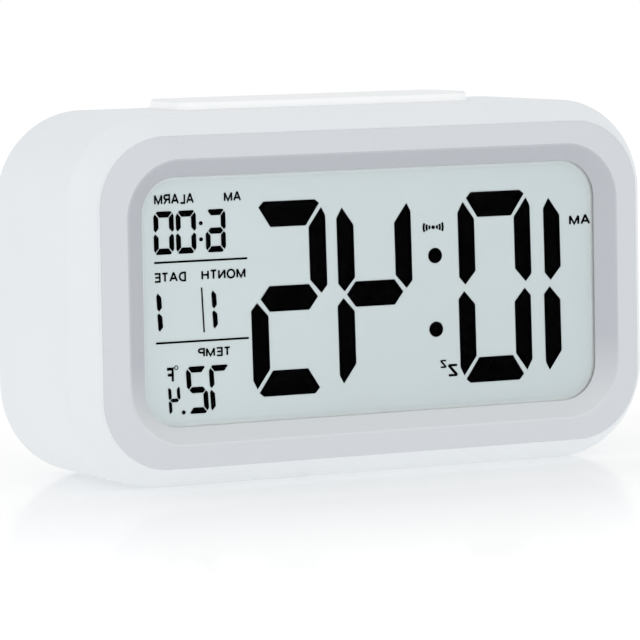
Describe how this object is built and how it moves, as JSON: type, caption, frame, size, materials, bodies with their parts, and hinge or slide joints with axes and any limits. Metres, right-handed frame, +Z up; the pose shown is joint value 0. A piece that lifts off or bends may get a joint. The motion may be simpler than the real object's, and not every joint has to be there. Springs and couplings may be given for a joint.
{
  "type": "digital alarm clock",
  "caption": "Battery desk clock in a rounded white case, with a silver ring round a segment display, a snooze bar on top, and keys, alarm switch and battery door on the back.",
  "frame": {"origin": "on the base, under the middle of the case", "axes": "+X to the right of the reader, +Y to the rear, +Z up"},
  "size_m": [0.135, 0.045, 0.0785],
  "materials": {
    "white_plastic": "satin",
    "bar_plastic": "gloss",
    "silver_plastic": "satin",
    "key_plastic": "satin",
    "clear_plastic": "gloss",
    "lcd_panel": "satin",
    "lcd_dark": "satin",
    "guide_plastic": "gloss",
    "reflector_film": "gloss",
    "led_plastic": "gloss",
    "inner_plastic": "matte",
    "zebra_rubber": "matte",
    "board_laminate": "satin",
    "chip_resin": "satin",
    "nickel": "satin",
    "thermistor_resin": "gloss",
    "screw_steel": "satin",
    "switch_plastic": "matte",
    "plunger_plastic": "matte",
    "ribbon_vinyl": "satin",
    "lead_vinyl": "satin",
    "buzzer_brass": "satin",
    "buzzer_ceramic": "matte",
    "cell_sleeve": "gloss"
  },
  "bodies": {
    "clock": {"case_shell": "white_plastic", "rear_cover": "white_plastic", "bezel_ring": "silver_plastic", "display_lens": "clear_plastic", "lcd_glass": "lcd_panel", "lcd_segments": "lcd_dark", "light_guide": "guide_plastic", "reflector_sheet": "reflector_film", "backlight_leds": "led_plastic", "lcd_holder": "inner_plastic", "snooze_bracket": "inner_plastic", "zebra_strip": "zebra_rubber", "main_board": "board_laminate", "key_board": "board_laminate", "chip_blob": "chip_resin", "crystal": "nickel", "contact_plates": "nickel", "cell_springs": "nickel", "snooze_springs": "nickel", "thermistor": "thermistor_resin", "main_board_screws": "screw_steel", "snooze_bracket_screws": "screw_steel", "key_board_screws": "screw_steel", "case_screws": "screw_steel", "snooze_switch": "switch_plastic", "key_switches": "switch_plastic", "alarm_switch": "switch_plastic", "ribbon_cable": "ribbon_vinyl", "battery_leads": "lead_vinyl", "buzzer_leads": "lead_vinyl", "buzzer_disc": "buzzer_brass", "buzzer_ceramic": "buzzer_ceramic", "cell_upper": "cell_sleeve", "cell_middle": "cell_sleeve", "cell_lower": "cell_sleeve"},
    "snooze": {"snooze_bar": "bar_plastic", "snooze_plunger": "plunger_plastic"},
    "set_key": {"set_button": "key_plastic", "set_plunger": "plunger_plastic"},
    "mode_key": {"mode_button": "key_plastic", "mode_plunger": "plunger_plastic"},
    "up_key": {"up_button": "key_plastic", "up_plunger": "plunger_plastic"},
    "down_key": {"down_button": "key_plastic", "down_plunger": "plunger_plastic"},
    "alarm_slide": {"alarm_slider": "key_plastic", "alarm_lever": "plunger_plastic"},
    "door": {"battery_door": "white_plastic"}
  },
  "joints": [
    {"name": "snooze_press", "type": "slide", "parent": "clock", "child": "snooze", "axis": [0, 0, -1], "range_m": [0, 0.001], "stiffness_N_per_m": 800, "springref_m": -0.0005, "deforming": ["snooze_springs"]},
    {"name": "set_press", "type": "slide", "parent": "clock", "child": "set_key", "axis": [0, -1, 0], "range_m": [0, 0.0006], "stiffness_N_per_m": 2000},
    {"name": "mode_press", "type": "slide", "parent": "clock", "child": "mode_key", "axis": [0, -1, 0], "range_m": [0, 0.0006], "stiffness_N_per_m": 2000},
    {"name": "up_press", "type": "slide", "parent": "clock", "child": "up_key", "axis": [0, -1, 0], "range_m": [0, 0.0006], "stiffness_N_per_m": 2000},
    {"name": "down_press", "type": "slide", "parent": "clock", "child": "down_key", "axis": [0, -1, 0], "range_m": [0, 0.0006], "stiffness_N_per_m": 2000},
    {"name": "alarm_slide_switch", "type": "slide", "parent": "clock", "child": "alarm_slide", "axis": [1, 0, 0], "range_m": [0, 0.003]},
    {"name": "door_hinge", "type": "hinge", "parent": "clock", "child": "door", "pos_m": [0, 0.0204, 0.0101], "axis": [-1, 0, 0], "range_deg": [0, 90]}
  ]
}
